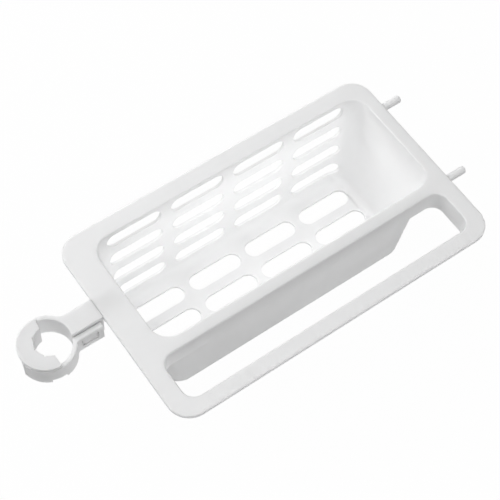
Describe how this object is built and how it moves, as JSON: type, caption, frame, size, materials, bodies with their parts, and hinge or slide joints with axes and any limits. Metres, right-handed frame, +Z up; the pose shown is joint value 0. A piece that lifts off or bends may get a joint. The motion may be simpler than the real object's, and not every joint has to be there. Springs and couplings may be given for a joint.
{
  "type": "kitchen sink caddy",
  "caption": "Slotted plastic basket in a flat rim with a towel bar, hung from a faucet by a hinged ring clip with a removable eccentric spacer; link pins on the far end.",
  "frame": {"origin": "on the axis of the faucet that the clip holds, at the height of the rim's top face, which is also the top face of the clip", "axes": "+Z up along the faucet; +X from the clip along the length of the rim to the link pins; +Y towards the back, away from the towel bar"},
  "size_m": [0.3353, 0.158, 0.0944],
  "materials": {
    "tray_plastic": "satin white injection-moulded polypropylene",
    "clip_plastic": "satin white injection-moulded polypropylene",
    "pin_steel": "plain drawn stainless wire"
  },
  "bodies": {
    "rack": {"tray": "tray_plastic", "clip_arm": "clip_plastic", "hinge_pin": "pin_steel"},
    "jaw": {"clip_jaw": "clip_plastic"},
    "spacer": {"spacer": "clip_plastic"}
  },
  "joints": [
    {"name": "jaw_hinge", "type": "hinge", "parent": "rack", "child": "jaw", "pos_m": [-0.02125, -0.0036, -0.0111], "axis": [0, 0, -1], "range_deg": [0, 75]},
    {"name": "spacer_lift", "type": "slide", "parent": "rack", "child": "spacer", "axis": [0, 0, 1], "range_m": [0, 0.025]}
  ]
}
